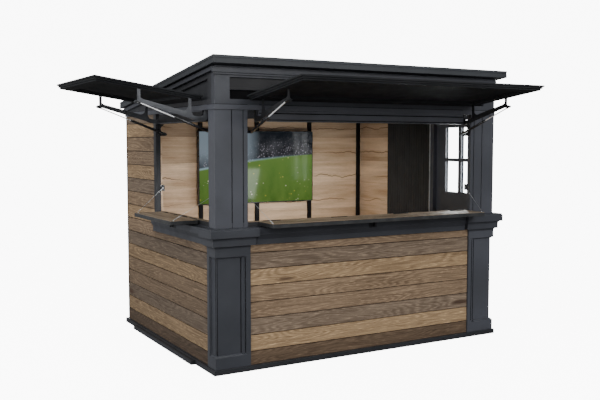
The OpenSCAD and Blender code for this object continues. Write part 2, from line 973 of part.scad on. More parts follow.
base_frame();
floor();
skid_bar();
pilaster_left();
pilaster_right();
capital_left();
capital_right();
front_wall();
left_wall();
left_wall_rear_upper();
back_wall();
right_wall_rear();
corner_trims();
aprons();
post_left();
post_right();
left_jamb();
front_header();
left_header();
architrave();
front_frieze();
left_frieze();
right_frieze();
back_frieze();
cornice();
roof();
sills();
shelf_hinges();
shelf_bracket();
oak_linings();
battens();
grooved_panel();
tv();
flap_mountings();
cable_anchors();
front_flap();
front_flap_arms();
left_flap();
left_flap_arms();
front_strut_cylinders();
front_strut_rods();
left_strut_cylinders();
left_strut_rods();
front_shelf();
front_shelf_cables();
left_shelf();
left_shelf_cables();
door_frame();
door_leaf();
door_glass();
door_handle();
door_hinges();
door_pintles();
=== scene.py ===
import json
import math

import bmesh
import bpy
import numpy as np
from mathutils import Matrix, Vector

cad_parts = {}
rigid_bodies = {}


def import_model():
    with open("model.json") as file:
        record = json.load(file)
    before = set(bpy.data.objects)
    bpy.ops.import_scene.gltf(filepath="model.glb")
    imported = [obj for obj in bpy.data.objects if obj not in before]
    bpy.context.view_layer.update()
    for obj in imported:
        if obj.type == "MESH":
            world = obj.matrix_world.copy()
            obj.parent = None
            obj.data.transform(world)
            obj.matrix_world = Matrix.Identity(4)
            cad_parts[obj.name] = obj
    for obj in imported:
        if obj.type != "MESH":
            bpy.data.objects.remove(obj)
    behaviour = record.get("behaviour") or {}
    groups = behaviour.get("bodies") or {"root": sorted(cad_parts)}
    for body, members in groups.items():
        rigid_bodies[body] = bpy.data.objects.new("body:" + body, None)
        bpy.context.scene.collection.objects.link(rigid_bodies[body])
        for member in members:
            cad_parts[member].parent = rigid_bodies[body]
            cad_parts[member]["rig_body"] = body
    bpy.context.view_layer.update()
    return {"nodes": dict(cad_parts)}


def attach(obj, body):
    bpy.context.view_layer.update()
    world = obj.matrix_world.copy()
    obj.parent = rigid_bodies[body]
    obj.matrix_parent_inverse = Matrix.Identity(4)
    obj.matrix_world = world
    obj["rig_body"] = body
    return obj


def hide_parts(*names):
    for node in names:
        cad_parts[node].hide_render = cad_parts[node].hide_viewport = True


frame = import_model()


# ---- Painted frame ----
# The base timbers, pilasters, posts, headers, friezes and roof edge are planed softwood,
# glued and screwed, and sprayed with a charcoal satin paint. Every arris is lightly eased.

class Wire:
    """One socket of a material. Arithmetic on it adds Math nodes to the material."""

    def __init__(self, tree, socket=None):
        self.tree, self.socket = tree, socket

    def node(self, kind, inputs=(), out=0, **settings):
        """Adds a node: its settings first, then the value or the wire of each socket."""
        made = self.tree.nodes.new(kind)
        stops = settings.pop("stops", None)
        for name, value in settings.items():
            setattr(made, name, value)
        if stops:
            ramp = made.color_ramp.elements
            while len(ramp) < len(stops):
                ramp.new(0.5)
            for element, (place, colour) in zip(ramp, stops):
                element.position, element.color = place, colour
        for key, value in dict(inputs).items():
            if isinstance(value, Wire):
                self.tree.links.new(value.socket, made.inputs[key])
            else:
                made.inputs[key].default_value = value
        return Wire(self.tree, made.outputs[out])

    def math(self, operation, *values):
        return self.node("ShaderNodeMath", enumerate(values), operation=operation)

    def __add__(self, other):
        return self.math("ADD", self, other)

    def __sub__(self, other):
        return self.math("SUBTRACT", self, other)

    def __rsub__(self, other):
        return self.math("SUBTRACT", other, self)

    def __mul__(self, other):
        return self.math("MULTIPLY", self, other)

    def __abs__(self):
        return self.math("ABSOLUTE", self)

    __radd__, __rmul__ = __add__, __mul__

    def blend(self, low, high):
        """The colour low where this wire is 0 and high where it is 1."""
        return self.node("ShaderNodeMix", {0: self, 6: low, 7: high}, 2, data_type="RGBA")

    def stretched(self, scale):
        """This position or colour, each of its three values times its own number."""
        return self.node("ShaderNodeVectorMath", {0: self, 1: scale}, operation="MULTIPLY")

    def along(self, axis):
        """One of the three values of this position."""
        return self.node("ShaderNodeSeparateXYZ", {0: self}, axis)

    def noise(self, scale, detail=4, rough=0.5):
        """Fractal noise from 0 to 1 over this position."""
        return self.node("ShaderNodeTexNoise",
                         {"Vector": self, "Scale": scale, "Detail": detail, "Roughness": rough})

    def spots(self, scale):
        """Distance to the nearest of many points strewn over this position."""
        return self.node("ShaderNodeTexVoronoi", {"Vector": self, "Scale": scale})

    def between(self, low, high, to_low=0.0, to_high=1.0):
        """This value brought from low-high to to_low-to_high, and held there outside."""
        return self.node("ShaderNodeMapRange",
                         {0: self, 1: low, 2: high, 3: to_low, 4: to_high})

    def bump(self, depth, strength=1.0):
        """The normal of a surface whose height is this value times depth, in metres."""
        return self.node("ShaderNodeBump", {"Height": self, "Distance": depth,
                                            "Strength": strength})


def shade(red, green, blue, share=1.0):
    """A colour named as on a paint card, 0 to 255, brought to linear light."""
    card = np.array([red, green, blue]) / 255
    linear = np.where(card < 0.04045, card / 12.92, ((card + 0.055) / 1.055) ** 2.4)
    return (*(linear * share).tolist(), 1.0)


def finish_of(name, pattern, **fixed):
    """A material: fixed values on the shader, and what pattern gives from Object position.
    Its name is a material slot, with a dot before any word that tells two finishes apart."""
    material = bpy.data.materials.new(name)
    material.use_nodes = True
    tree = material.node_tree
    shader = tree.nodes["Principled BSDF"]
    for socket, value in fixed.items():
        shader.inputs[socket.replace("_", " ")].default_value = value
    where = Wire(tree).node("ShaderNodeTexCoord", out=3)
    for socket, wire in pattern(where).items():
        tree.links.new(wire.socket, shader.inputs[socket])
    return material


def paint_pattern(low, high, gloss=0.46):
    """Sprayed paint: two close tones of the card in broad clouds, a fine orange peel."""
    def pattern(where):
        clouds = where.noise(2.4, 5)
        return {
            "Base Color": clouds.between(0.35, 0.65).blend(shade(*low), shade(*high)),
            "Roughness": where.noise(9.0, 5).between(0.3, 0.7, gloss - 0.07, gloss + 0.07),
            "Normal": where.noise(260.0, 2).bump(0.0002, 0.3),
        }
    return pattern


charcoal = finish_of("charcoal_frame", paint_pattern((62, 64, 70), (70, 72, 79)),
                     Specular_IOR_Level=0.38)


def placed(name, data):
    """A new object of the scene, at the origin."""
    made = bpy.data.objects.new(name, data)
    bpy.context.scene.collection.objects.link(made)
    return made


def fitted(piece, finish, body, *nodes):
    """Gives a piece its finish, fixes it to a body and stands it in for CAD nodes."""
    piece.data.materials.clear()
    piece.data.materials.append(finish)
    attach(piece, body)
    if nodes:
        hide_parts(*nodes)
    return piece


merge_gap, flat_angle, sharp_angle = 1e-5, 0.01, math.radians(30)


def eased(node, ease, finish, segments=2):
    """A copy of a CAD node that stands for it: triangles merged, flat faces made one, and
    every edge sharper than 30 degrees rounded by the ease."""
    mesh = frame["nodes"][node].data.copy()
    shape = bmesh.new()
    shape.from_mesh(mesh)
    bmesh.ops.remove_doubles(shape, verts=shape.verts, dist=merge_gap)
    bmesh.ops.dissolve_limit(shape, angle_limit=flat_angle, verts=shape.verts,
                             edges=shape.edges)
    shape.to_mesh(mesh)
    shape.free()
    piece = placed(node + "_eased", mesh)
    bevel = piece.modifiers.new("eased_edges", "BEVEL")
    bevel.width, bevel.segments = ease, segments
    bevel.limit_method, bevel.angle_limit = "ANGLE", sharp_angle
    bevel.harden_normals = True
    return fitted(piece, finish, frame["nodes"][node]["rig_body"], node)


timber_ease = 0.0018
# A darker copy of the charcoal is painted shade: the left pilaster, the capitals, the aprons, the
# friezes and the cornice take it where they stand in more shade than the posts.
shaded_charcoal = finish_of("charcoal_frame.deep", paint_pattern((50, 52, 57), (57, 59, 65)),
                          Specular_IOR_Level=0.34)
# A near-black copy of the charcoal. On the base timbers, the skid bar and the left jamb it is a
# darker paint. On the corner trims and on the left and back friezes it is painted shade.
dark_paint_and_shade = finish_of("charcoal_frame.dark", paint_pattern((33, 34, 37), (41, 42, 46)),
                       Specular_IOR_Level=0.34)
for name in ("post_left", "post_right", "pilaster_right", "front_header", "architrave",
             "door_frame"):
    eased(name, timber_ease, charcoal)
for name in ("pilaster_left", "capital_left", "capital_right", "aprons", "front_frieze",
             "right_frieze", "cornice"):
    eased(name, timber_ease, shaded_charcoal)
for name in ("base_frame", "skid_bar", "left_jamb", "corner_trims", "left_frieze",
             "back_frieze"):
    eased(name, timber_ease, dark_paint_and_shade)
# A black copy of the frame paint is painted shade: the left header under the left flap, and the
# upper strip in the front frieze's recess, take it.
shade_black_paint = finish_of("charcoal_frame.black", paint_pattern((17, 17, 19), (23, 23, 26)),
                        Specular_IOR_Level=0.25)
eased("left_header", timber_ease, shade_black_paint)


# ---- Base fixings ----
# Black pan-head bolts hold the edge timbers of the base to the floor joists. Each is a
# turned head pressed against the face of the timber.

def ends_of(node):
    """The lowest and the highest x, y and z of a CAD node, to a tenth of a millimetre."""
    mesh = frame["nodes"][node].data
    points = np.empty(len(mesh.vertices) * 3, np.float32)
    mesh.vertices.foreach_get("co", points)
    points = points.reshape(-1, 3).astype(float)
    return np.round([points.min(0), points.max(0)], 4)


corner = ends_of("base_frame")[0]


def limits_of(node):
    """The same, measured from the base's front left corner."""
    return np.round(ends_of(node) - corner, 4)


width, depth, base_top = limits_of("base_frame")[1]


def ringed(name, rings, finish, body, *nodes, loop=False, **marks):
    """A closed mesh from rings of points measured from the base's front left corner: point j
    of ring k joins point j + 1 and ring k + 1 in a quad, for each copy in the array. The end
    rings are filled, or joined to each other in a loop. Marks are vectors kept on points."""
    rings = np.asarray(rings, float)
    rings = rings[None] if rings.ndim == 3 else rings
    copies, rows, around, _ = rings.shape
    k, j = np.meshgrid(np.arange(rows if loop else rows - 1), np.arange(around), indexing="ij")
    here, beside, on = k * around + j, k * around + (j + 1) % around, (k + 1) % rows * around
    quads = np.stack([here, beside, on + (j + 1) % around, on + j], -1).reshape(-1, 4)
    start = np.arange(copies)[:, None, None] * rows * around
    faces = (quads + start).reshape(-1, 4).tolist()
    if not loop:
        ends = np.stack([np.arange(around)[::-1], (rows - 1) * around + np.arange(around)])
        faces += (ends + start).reshape(-1, around).tolist()
    mesh = bpy.data.meshes.new(name)
    mesh.from_pydata((rings.reshape(-1, 3) + corner).tolist(), [], faces)
    shape = bmesh.new()
    shape.from_mesh(mesh)
    bmesh.ops.recalc_face_normals(shape, faces=shape.faces)
    shape.to_mesh(mesh)
    shape.free()
    for mark, values in marks.items():
        kept = mesh.attributes.new(mark, "FLOAT_VECTOR", "POINT")
        kept.data.foreach_set("vector", np.asarray(values, np.float32).ravel())
    mesh.shade_smooth()
    mesh.set_sharp_from_angle(angle=math.radians(34))
    return fitted(placed(name, mesh), finish, body, *nodes)


def turned(name, outline, places, axis, finish, body, *nodes, around=16):
    """An outline of (radius, height) turned about an axis at each place: a point lies at the
    place, plus its height along the axis, plus its radius round it."""
    axis = np.asarray(axis, float) / np.linalg.norm(axis)
    side = np.cross(axis, (0, 0, 1) if abs(axis[2]) < 0.9 else (1, 0, 0))
    side /= np.linalg.norm(side)
    other = np.cross(axis, side)
    turn = np.arange(around) * 2 * math.pi / around
    spoke = np.cos(turn)[:, None] * side + np.sin(turn)[:, None] * other
    radius, height = np.asarray(outline, float).T
    ring = radius[:, None, None] * spoke + height[:, None, None] * axis
    return ringed(name, np.asarray(places, float).reshape(-1, 1, 1, 3) + ring, finish, body,
                  *nodes)


def steel_pattern(low, high, rough):
    """Coated or bare steel of two tones of the card: faint clouding, fine grain in its
    gloss."""
    def pattern(where):
        return {
            "Base Color": where.noise(14.0, 4).between(0.35, 0.65).blend(shade(*low),
                                                                         shade(*high)),
            "Roughness": where.noise(60.0, 4).between(0.3, 0.7, rough - 0.06, rough + 0.08),
            "Normal": where.noise(420.0, 2).bump(0.0001, 0.25),
        }
    return pattern


black_steel = finish_of("black_metal", steel_pattern((24, 25, 27), (34, 35, 38), 0.42),
                        Metallic=0.35)
pan_head = ((0.0078, 0.0), (0.0082, 0.00072), (0.0078, 0.00198), (0.0062, 0.00306),
            (0.0034, 0.0036), (0.0022, 0.0036), (0.0020, 0.0027))
bolt_height = 0.026
front_bolts = (0.30, 0.675, 1.045, 1.454, 1.905, 2.30, 2.66)
turned("base_bolts_front", pan_head, [(x, 0.0, bolt_height) for x in front_bolts], (0, -1, 0),
       black_steel, "shed", around=12)
turned("base_bolts_left", pan_head, [(0.0, y, bolt_height) for y in (0.10, 1.93, 2.15)],
       (-1, 0, 0), black_steel, "shed", around=12)


# ---- Capital and shaft mouldings ----
# Small coves close the steps under each capital, and a quarter round runs over the foot
# and under the head of each sunk shaft. They are painted softwood, mitred and pinned.

def beading(name, section, path, finish, body, loop=False, lay=None):
    """A section of (outward, up) points carried along a level path of (x, y, z) points with
    mitred corners: at a corner the outward step follows the sum of the two sides' outward
    normals, divided by one plus their dot product."""
    path, section = np.asarray(path, float), np.asarray(section, float)
    legs = np.diff(np.vstack([path, path[:1]]) if loop else path, axis=0)[:, :2]
    legs /= np.linalg.norm(legs, axis=1)[:, None]
    normal = np.stack([legs[:, 1], -legs[:, 0]], -1)
    before = np.vstack([normal[-1:], normal[:-1]] if loop else [normal[:1], normal])
    after = normal if loop else np.vstack([normal, normal[-1:]])
    mitre = (before + after) / (1 + np.sum(before * after, axis=1))[:, None]
    step = np.concatenate([mitre, np.zeros((len(path), 1))], axis=1)
    rings = path[:, None] + section[None, :, :1] * step[:, None] + section[None, :, 1:] * (0, 0, 1)
    return ringed(name, rings if lay is None else lay(rings), finish, body, loop=loop)


sink = 0.001
quarter_turn = np.linspace(0, math.pi / 2, 7)


def cove(size):
    """A hollow quarter circle under a step: from the wall below it out to the step's edge."""
    curve = size * np.stack([1 - np.cos(quarter_turn), np.sin(quarter_turn) - 1], -1)
    return np.vstack([curve, [(size, sink), (-sink, sink), (-sink, -size)]])


def quarter_round(size, lift=1):
    """A full quarter circle standing on a foot, or hung from a head where lift is -1."""
    curve = size * np.stack([np.cos(quarter_turn), lift * np.sin(quarter_turn)], -1)
    return np.vstack([curve, [(-sink, lift * size), (-sink, -lift * sink),
                              (size, -lift * sink)]])


(pilaster_face, _, _), (pilaster_end, pilaster_back, _) = limits_of("pilaster_left")
(_, _, capital_foot), (capital_end, capital_back, counter_top) = limits_of("capital_left")
room_face = limits_of("capital_right")[1][1]
step_face, band_foot = -0.014, 1.089
shaft_face, shaft_end, shaft_back, shaft_room_face = 0.036, 0.249, 0.125, 0.060
foot_top, shaft_top = 0.135, 0.932
gap = 0.0005
for side in ("left", "right"):
    left = side == "left"
    band_back, step_back, sunk_back = room_face, room_face, shaft_room_face
    if left:
        band_back, step_back, sunk_back = capital_back - 0.012, pilaster_back - gap, shaft_back
    for name, section, face, z, end, back in (
            (f"capital_{side}_band", cove(0.022), step_face, band_foot, capital_end - 0.016,
             band_back),
            (f"capital_{side}_step", cove(0.020), pilaster_face, capital_foot,
             pilaster_end - gap, step_back),
            (f"shaft_{side}_foot", quarter_round(0.015), shaft_face, foot_top, shaft_end,
             sunk_back),
            (f"shaft_{side}_head", quarter_round(0.010, -1), shaft_face, shaft_top, shaft_end,
             sunk_back)):
        line = [(face, back, z), (face, face, z), (end, face, z)]
        if not left:
            line = [(width - x, y, h) for x, y, h in line[::-1]]
        # The coves and quarter rounds take the darker copy of the charcoal: painted shade.
        beading(name, section, line, shaded_charcoal, "shed")


# ---- Cladding ----
# Brushed larch boards, 133 mm from joint to joint, are screwed to the wall panels from
# behind. Each board was cut and oiled on its own, so its colour and figure differ.

def boards(name, limits, along, across, finish, body, *nodes, stain=(1, 1, 1), ease=0.0015,
           seed=1):
    """Straight boards from rows of x0, x1, y0, y1, z0, z1: an eight-sided section, which is
    the board's rectangle with its corners cut by the ease, carried along the board and drawn
    in by the ease at both ends. The grain mark is the distance along, across and through
    the board, with its own start in the log."""
    box = np.asarray(limits, float).reshape(-1, 3, 2)
    order = [along, across, 3 - along - across]
    low, high = box[:, order, 0], box[:, order, 1]
    middle, half = (low + high) / 2, (high - low) / 2
    sign = np.array([(-1, -1), (1, -1), (1, -1), (1, 1), (1, 1), (-1, 1), (-1, 1), (-1, -1)])
    cut = np.array([(1, 0), (1, 0), (0, 1), (0, 1), (1, 0), (1, 0), (0, 1), (0, 1)])
    drawn = np.array([1, 0, 0, 1])[:, None, None]
    spot = sign * (half[:, None, None, 1:] - ease * (cut + drawn))
    run = half[:, :1] * np.array([-1, -1, 1, 1]) + ease * np.array([0, 1, -1, 0])
    local = np.concatenate([np.broadcast_to(run[:, :, None, None], (*spot.shape[:3], 1)), spot],
                           -1)
    whole = np.empty_like(local)
    whole[..., order] = local + middle[:, None, None]
    log = np.random.default_rng(seed).random((len(box), 1, 1, 3)) * (40, 0, 9)
    grain = local + np.stack([half[:, 0] * 0, half[:, 1], half[:, 2]], -1)[:, None, None] + log
    stain = np.broadcast_to(np.asarray(stain, float).reshape(-1, 1, 1, 3),
                            (len(box), *local.shape[1:]))
    return ringed(name, whole, finish, body, *nodes, grain=grain.reshape(-1, 3),
                  stain=stain.reshape(-1, 3))


def wood_pattern(lines, figure, streaks, dark, pale, knots=0.6, splits=0.0, rough=0.62,
                 flecks=0.0):
    """Sawn wood. Its figure is the contour lines of a noise stretched along the board, raised
    round knots so that the lines ring them; streaks and pores are finer noises, and flecks
    short pale marks on the lines. Splits are thin dark lines that wander a little above each
    board's lower edge."""
    def pattern(where):
        grain = where.node("ShaderNodeAttribute", out=1, attribute_name="grain")
        stain = where.node("ShaderNodeAttribute", out=1, attribute_name="stain")
        from_knot = grain.stretched((knots, knots * 5.5, knots * 5.5)).spots(1.0)
        broad = grain.stretched((0.55, 5.0, 5.0)).noise(1.0, 2, 0.45)
        rings = (broad + from_knot.between(0.0, 0.35, 0.10, 0.0)) * lines
        contour = rings.math("SINE", rings) * 0.5 + 0.5
        streak = grain.stretched((1.8, 80.0, 80.0)).noise(1.0, 7, 0.78).between(0.36, 0.64)
        pores = grain.stretched((26.0, 520.0, 520.0)).noise(1.0, 3, 0.7)
        cloud = grain.stretched((1.3, 7.0, 7.0)).noise(1.0, 4)
        tone = (contour * figure + streak * streaks
                + cloud.between(0.3, 0.7) * (1 - figure - streaks))
        tone = tone + (pores - 0.5) * 0.9
        colour = tone.between(0.0, 1.0).blend(stain.stretched(dark), stain.stretched(pale))
        if flecks:
            marks = grain.stretched((15.0, 150.0, 150.0)).noise(1.0, 2).between(0.56, 0.68)
            colour = (marks * contour * flecks).blend(colour, stain.stretched((2.1, 2.1, 2.1)))
        colour = from_knot.between(0.045, 0.085, 0.85, 0.0).blend(colour, shade(58, 38, 26))
        if splits:
            wander = grain.stretched((2.6, 0.0, 0.0)).noise(1.0, 5, 0.6).between(0, 1, 0.02, 0.18)
            apart = abs(grain.along(1) - wander)
            open_here = grain.stretched((1.3, 0.0, 0.0)).noise(1.0, 1).between(0.42, 0.52)
            split = apart.between(0.0016, 0.0038, 1.0, 0.0) * open_here * splits
            halo = apart.between(0.0, 0.018, 0.5, 0.0) * open_here
            colour = halo.blend(colour, stain.stretched((0.72, 0.60, 0.48)))
            colour = split.blend(colour, shade(34, 24, 18))
        return {
            "Base Color": colour,
            "Roughness": tone.between(0.0, 1.0, rough + 0.12, rough - 0.08),
            "Normal": (contour * 0.35 + streak * 0.5 + pores * 0.6).bump(0.0006, 0.7),
        }
    return pattern


def stained(names, share=1.0):
    """Stains named as on a paint card, each times its share, brought to linear light."""
    return [shade(*name, share)[:3] for name in names]


larch = finish_of("cladding", wood_pattern(210, 0.26, 0.52, (0.38, 0.34, 0.31),
                                           (1.42, 1.42, 1.42), flecks=0.8),
                  Specular_IOR_Level=0.3)
tan, brown, grey, red_brown, dim = ((170, 143, 109), (142, 120, 96), (130, 113, 95),
                                    (148, 125, 99), (104, 86, 68))
low_stains = [dim, tan, grey, brown, red_brown, tan, grey, brown]
high_stains = [tan, red_brown, grey, tan, brown, red_brown, tan, grey]

(wall_face, _, _), (_, _, wall_top) = limits_of("left_wall")
back_face, wall_head = limits_of("back_wall")[1][1:]
right_face = limits_of("right_wall_rear")[1][0]
(_, jamb_start, _), (_, jamb_end, _) = limits_of("left_jamb")
door_frame_end = limits_of("door_frame")[1][1]
board, pitch, half_joint = 0.018, 0.133, 0.0032
trim_start, trim_side = 2.2165, 0.0603
joints = 0.152 + pitch * np.arange(15)
rows = np.stack([np.append(base_top, joints + half_joint),
                 np.append(joints - half_joint, wall_head)], -1)
low_rows = rows[:8].copy()
low_rows[7, 1] = wall_top
# The stain shares are painted shade. Against the back and right boards, the front boards are
# darkened a little and the left boards by about half, with the left wall's lower courses darkest.
boards("front_boards", [(pilaster_end + gap, width - pilaster_end - gap, wall_face - board,
                         wall_face, a, b) for a, b in low_rows], 0, 2, larch, "shed",
       stain=stained(low_stains, 0.84), seed=4)
boards("left_boards",
       [(wall_face - board, wall_face, y0, y1, a, b) for y0, y1, course in (
           (pilaster_back + gap, trim_start, low_rows[:7]),
           (pilaster_back + gap, jamb_end - 0.0003, low_rows[7:]),
           (jamb_end + 0.0023, trim_start, rows[7:])) for a, b in course],
       1, 2, larch, "shed",
       stain=stained(low_stains, 0.42) + stained(low_stains[-1:] + high_stains, 0.56), seed=9)
boards("back_boards", [(trim_side, width - trim_side, back_face, back_face + board, a, b)
                       for a, b in rows], 0, 2, larch, "shed",
       stain=stained(low_stains + high_stains), seed=12)
boards("right_boards", [(right_face, right_face + board, door_frame_end + gap, trim_start, a, b)
                        for a, b in rows], 1, 2, larch, "shed",
       stain=stained(low_stains + high_stains), seed=15)


# ---- Shaft lines ----
# Narrow black strips lie in the angles of each sunk shaft's stepped border and beside its corner,
# and in the grooves of the posts: painted shade that stands for the shadow lines in these angles
# and grooves.

# A matt black used only as painted shade: thin strips that stand for the shadow in angles, grooves
# and recesses.
painted_shade_black = finish_of("flap_paint.soot", paint_pattern((10, 10, 11), (14, 14, 15), 0.8),
                 Specular_IOR_Level=0.05)
sill_top = limits_of("sills")[1][2]
line_ease = 0.0003
upright = (foot_top + 0.016, shaft_top - 0.011)
in_border, in_shaft, in_groove = (0.0203, 0.0218), (0.0348, 0.0366), (0.0284, 0.0299)
shaft_strips = [(0.2765, 0.2825, *in_border, *upright), (0.2425, 0.2485, *in_shaft, *upright),
                (0.0385, 0.0435, *in_shaft, *upright), (*in_shaft, 0.047, 0.054, *upright)]
post_run = (sill_top + 0.001, wall_head - gap)
post_strips = [(0.1672, 0.1738, *in_groove, *post_run), (0.2662, 0.2728, *in_groove, *post_run),
               (0.0304, 0.0319, 0.1494, 0.1540, *post_run)]
for name, strips in (("shaft", shaft_strips), ("post", post_strips)):
    boards(f"left_{name}_lines", strips, 2, 0, painted_shade_black, "shed", ease=line_ease)
    boards(f"right_{name}_lines", [(width - b, width - a, *rest) for a, b, *rest in strips[:2]],
           2, 0, painted_shade_black, "shed", ease=line_ease)


# ---- Wall panels ----
# Behind the boards stand stiff panels of softwood ply on studs. Their outer faces show
# only as the dark of the joints, and the front one's inner face can be seen from inside.

def ply_pattern(where):
    """Rotary-cut ply: broad wavy bands with fine streaks along the sheet."""
    bands = where.stretched((0.6, 0.6, 7.0)).noise(1.5, 4, 0.6)
    streaks = where.stretched((3.0, 3.0, 140.0)).noise(1.0, 4)
    return {
        "Base Color": (bands * 0.6 + streaks * 0.4).between(0.3, 0.7).blend(
            shade(46, 38, 30), shade(66, 55, 43)),
        "Roughness": streaks.between(0.3, 0.7, 0.62, 0.78),
        "Normal": streaks.bump(0.0003, 0.5),
    }


# The ply's dark brown is painted shade: it makes the joints between the cladding boards read dark,
# and the front wall's inner face shows it too.
ply = finish_of("cladding.ply", ply_pattern)
for name in ("front_wall", "left_wall", "left_wall_rear_upper", "back_wall", "right_wall_rear"):
    eased(name, 0.001, ply, 1)


# ---- Floor ----
# Oiled pine boards, 120 mm wide, are nailed over the joists from side to side. The joist
# frame below them is closed with a sheet.

pine = finish_of("floor_boards", wood_pattern(60, 0.3, 0.35, (0.62, 0.56, 0.50),
                                              (1.2, 1.18, 1.14), rough=0.5),
                 Specular_IOR_Level=0.4)
(floor_start, _, _), (_, _, floor_top) = limits_of("floor")
half_joint = 0.0008
plank_edges = np.linspace(floor_start, depth - floor_start, 18)
boards("floor_planks", [(floor_start, width - floor_start, a + half_joint, b - half_joint,
                         base_top + 0.0001, floor_top)
                        for a, b in zip(plank_edges[:-1], plank_edges[1:])], 0, 1, pine,
       "shed", "floor", stain=stained([(150, 122, 92), (140, 113, 84), (158, 130, 98)] * 5
                                      + [(146, 118, 88), (150, 122, 92)]), seed=21)
joist_start, joist, sheet_foot = 0.1405, 0.045, 0.030
beds = [(joist_start, depth - joist_start, sheet_foot, base_top - 0.0002)]
beds += [(y, y + joist, 0.0, sheet_foot - 0.0001)
         for y in (joist_start, 0.75, 1.4, depth - joist_start - joist)]
boards("floor_joists", [(joist_start, width - joist_start, *bed) for bed in beds], 0, 1, pine,
       "shed", stain=stained([(120, 98, 74)] * 5), seed=23)


# ---- Upper post and header trims ----
# A slim bead stands against the inner edge of the left post. A cove runs under the band
# over each opening and a small lip along the header's foot, all painted with the frame.
# Black lines on top of the band and along both edges of the header's raised strip are painted
# shade for the shadow lines there.

def turned_to_left(values, left):
    """Swaps x and y in points, or in the limits of boards: what lies along the front then
    lies along the left side."""
    values = np.asarray(values, float)
    order = [1, 0, 2] if values.shape[-1] == 3 else [2, 3, 0, 1, 4, 5]
    return values[..., order] if left else values


(post_face, _, _), (post_end, post_back, _) = limits_of("post_left")
(_, _, header_foot), (_, _, band_top) = limits_of("front_header")
openings = {"front": (post_end, width - post_end), "left": (post_back, jamb_start)}
trim_ease, header_cove, pocket, air = 0.0012, 0.0085, 0.0985, 0.0001
boards("post_bead", [(post_end + 0.0003, post_end + 0.022, 0.0700, 0.0735, sill_top + gap,
                      header_foot - gap)], 2, 0, charcoal, "shed", ease=trim_ease)
for (side, (start, end)), stop in zip(openings.items(), (width - post_face - gap, 2.2250)):
    left, run = side == "left", (start + pocket, end - pocket)
    path = turned_to_left([(x, post_face, wall_head) for x in run], left)
    beading(side + "_header_cove", cove(header_cove), path[::-1] if left else path, charcoal,
            "shed")
    line = [(*ends, post_face - 0.0014, post_face - air, band_top + 0.0002, band_top + 0.0042)
            for ends in ((post_face + gap, start - gap), run, (end + gap, stop))]
    boards(side + "_band_line", turned_to_left(line, left), int(left), 2, painted_shade_black, "shed",
           ease=line_ease)
    lip = [(*run, post_face - 0.0055, post_face - air, header_foot + 0.0002,
            header_foot + 0.0085)]
    boards(side + "_header_lip", turned_to_left(lip, left), int(left), 2, charcoal, "shed",
           ease=trim_ease)
    if not left:
        boards("front_header_lines", [
            (*run, post_face - 0.0016, post_face - air, header_foot + a, header_foot + b)
            for a, b in ((0.0098, 0.0166), (0.0604, 0.0690))], 0, 2, painted_shade_black, "shed",
               ease=line_ease)


# ---- Frieze panel ----
# Two thin black strips lie in the front frieze's sunk panel: painted shade for the deep shadow in
# its recess. The lower one is set further back and is fully matt.

recess_start, strip = 0.1565, 0.0023
for name, face, foot, head, finish in (
        ("frieze_panel", 0.0565, 2.1715, 2.2435, painted_shade_black),
        ("frieze_panel_top", 0.0415, 2.2455, 2.3405, shade_black_paint)):
    boards(name, [(recess_start, width - recess_start, face, face + strip, foot, head)], 0, 2,
           finish, "shed", ease=0.0004)


# ---- Roof ----
# A pent roof of boarded ply under a charcoal membrane, welded in 1.1 m widths, with a
# painted edge board whose groove parts the darker lip from the band below.

def roof_pattern(where):
    """Membrane with a fine mineral grain and welded laps, and the paint of the edge board."""
    widths = where.along(0) * (1 / 1.1)
    lap = abs(widths.math("FRACT", widths) - 0.5)
    seam = lap.between(0.0, 0.006, 1.0, 0.0)
    grit = where.noise(420.0, 3, 0.7)
    dust = where.noise(1.8, 6, 0.6)
    return {
        "Base Color": (dust * 0.7 + grit * 0.3).between(0.35, 0.65).blend(
            shade(42, 45, 48), shade(54, 57, 61)),
        "Roughness": grit.between(0.3, 0.7, 0.48, 0.62),
        "Normal": (grit * 0.4 + seam).bump(0.0008, 0.4),
    }


roof_finish = finish_of("roof_paint", roof_pattern, Specular_IOR_Level=0.35)
eased("roof", 0.003, roof_finish, 3)


# ---- Sills ----
# Each opening has a fixed sill behind its shelf: a dark edge-banded core with a worn oak
# board let into its top, between the posts.

counter_oak = finish_of("counter_wood", wood_pattern(60, 0.28, 0.45, (0.55, 0.50, 0.46),
                                                     (1.25, 1.22, 1.18), rough=0.46),
                        Specular_IOR_Level=0.42)
edge_black = finish_of("flap_paint.edge", paint_pattern((30, 31, 33), (39, 40, 43), 0.4),
                       Specular_IOR_Level=0.4)
steel_ease, top_inset, top_foot = 0.0006, 0.0004, sill_top - 0.0029
sill_depth, sill_rise = np.array([0.0602, 0.1148]), (counter_top + 0.0002, top_foot - air)
sills = [(start + 0.0006, end - 0.0006) for start, end in openings.values()]
boards("sill_cores", [turned_to_left((*sill, *sill_depth, *sill_rise), left)
                      for left, sill in enumerate(sills)], 0, 1, edge_black, "shed", "sills")
for left, (sill, tone) in enumerate(zip(sills, ((144, 127, 108), (116, 102, 84)))):
    top = (*sill, sill_depth[0] + top_inset, sill_depth[1] - top_inset, top_foot, sill_top)
    boards(("front", "left")[left] + "_sill_top", turned_to_left(top, left), left, 1 - left,
           counter_oak, "shed", stain=stained([tone]), ease=0.001, seed=31 + 2 * left)
for name in ("shelf_hinges", "shelf_bracket"):
    eased(name, steel_ease, black_steel)
boards("left_shelf_bracket", [(-0.016, -0.012, 0.785, 0.865, 1.100, 1.152),
                              (-0.070, -0.016, 0.785, 0.865, 1.148, 1.152),
                              (-0.050, -0.016, 0.822, 0.828, 1.110, 1.148)], 1, 2,
       black_steel, "shed", ease=steel_ease)


# ---- Oak lining ----
# The rear of the room is lined with pale knotty oak boards, 270 mm wide, their natural
# splits left open. Black battens cover the upright joints.

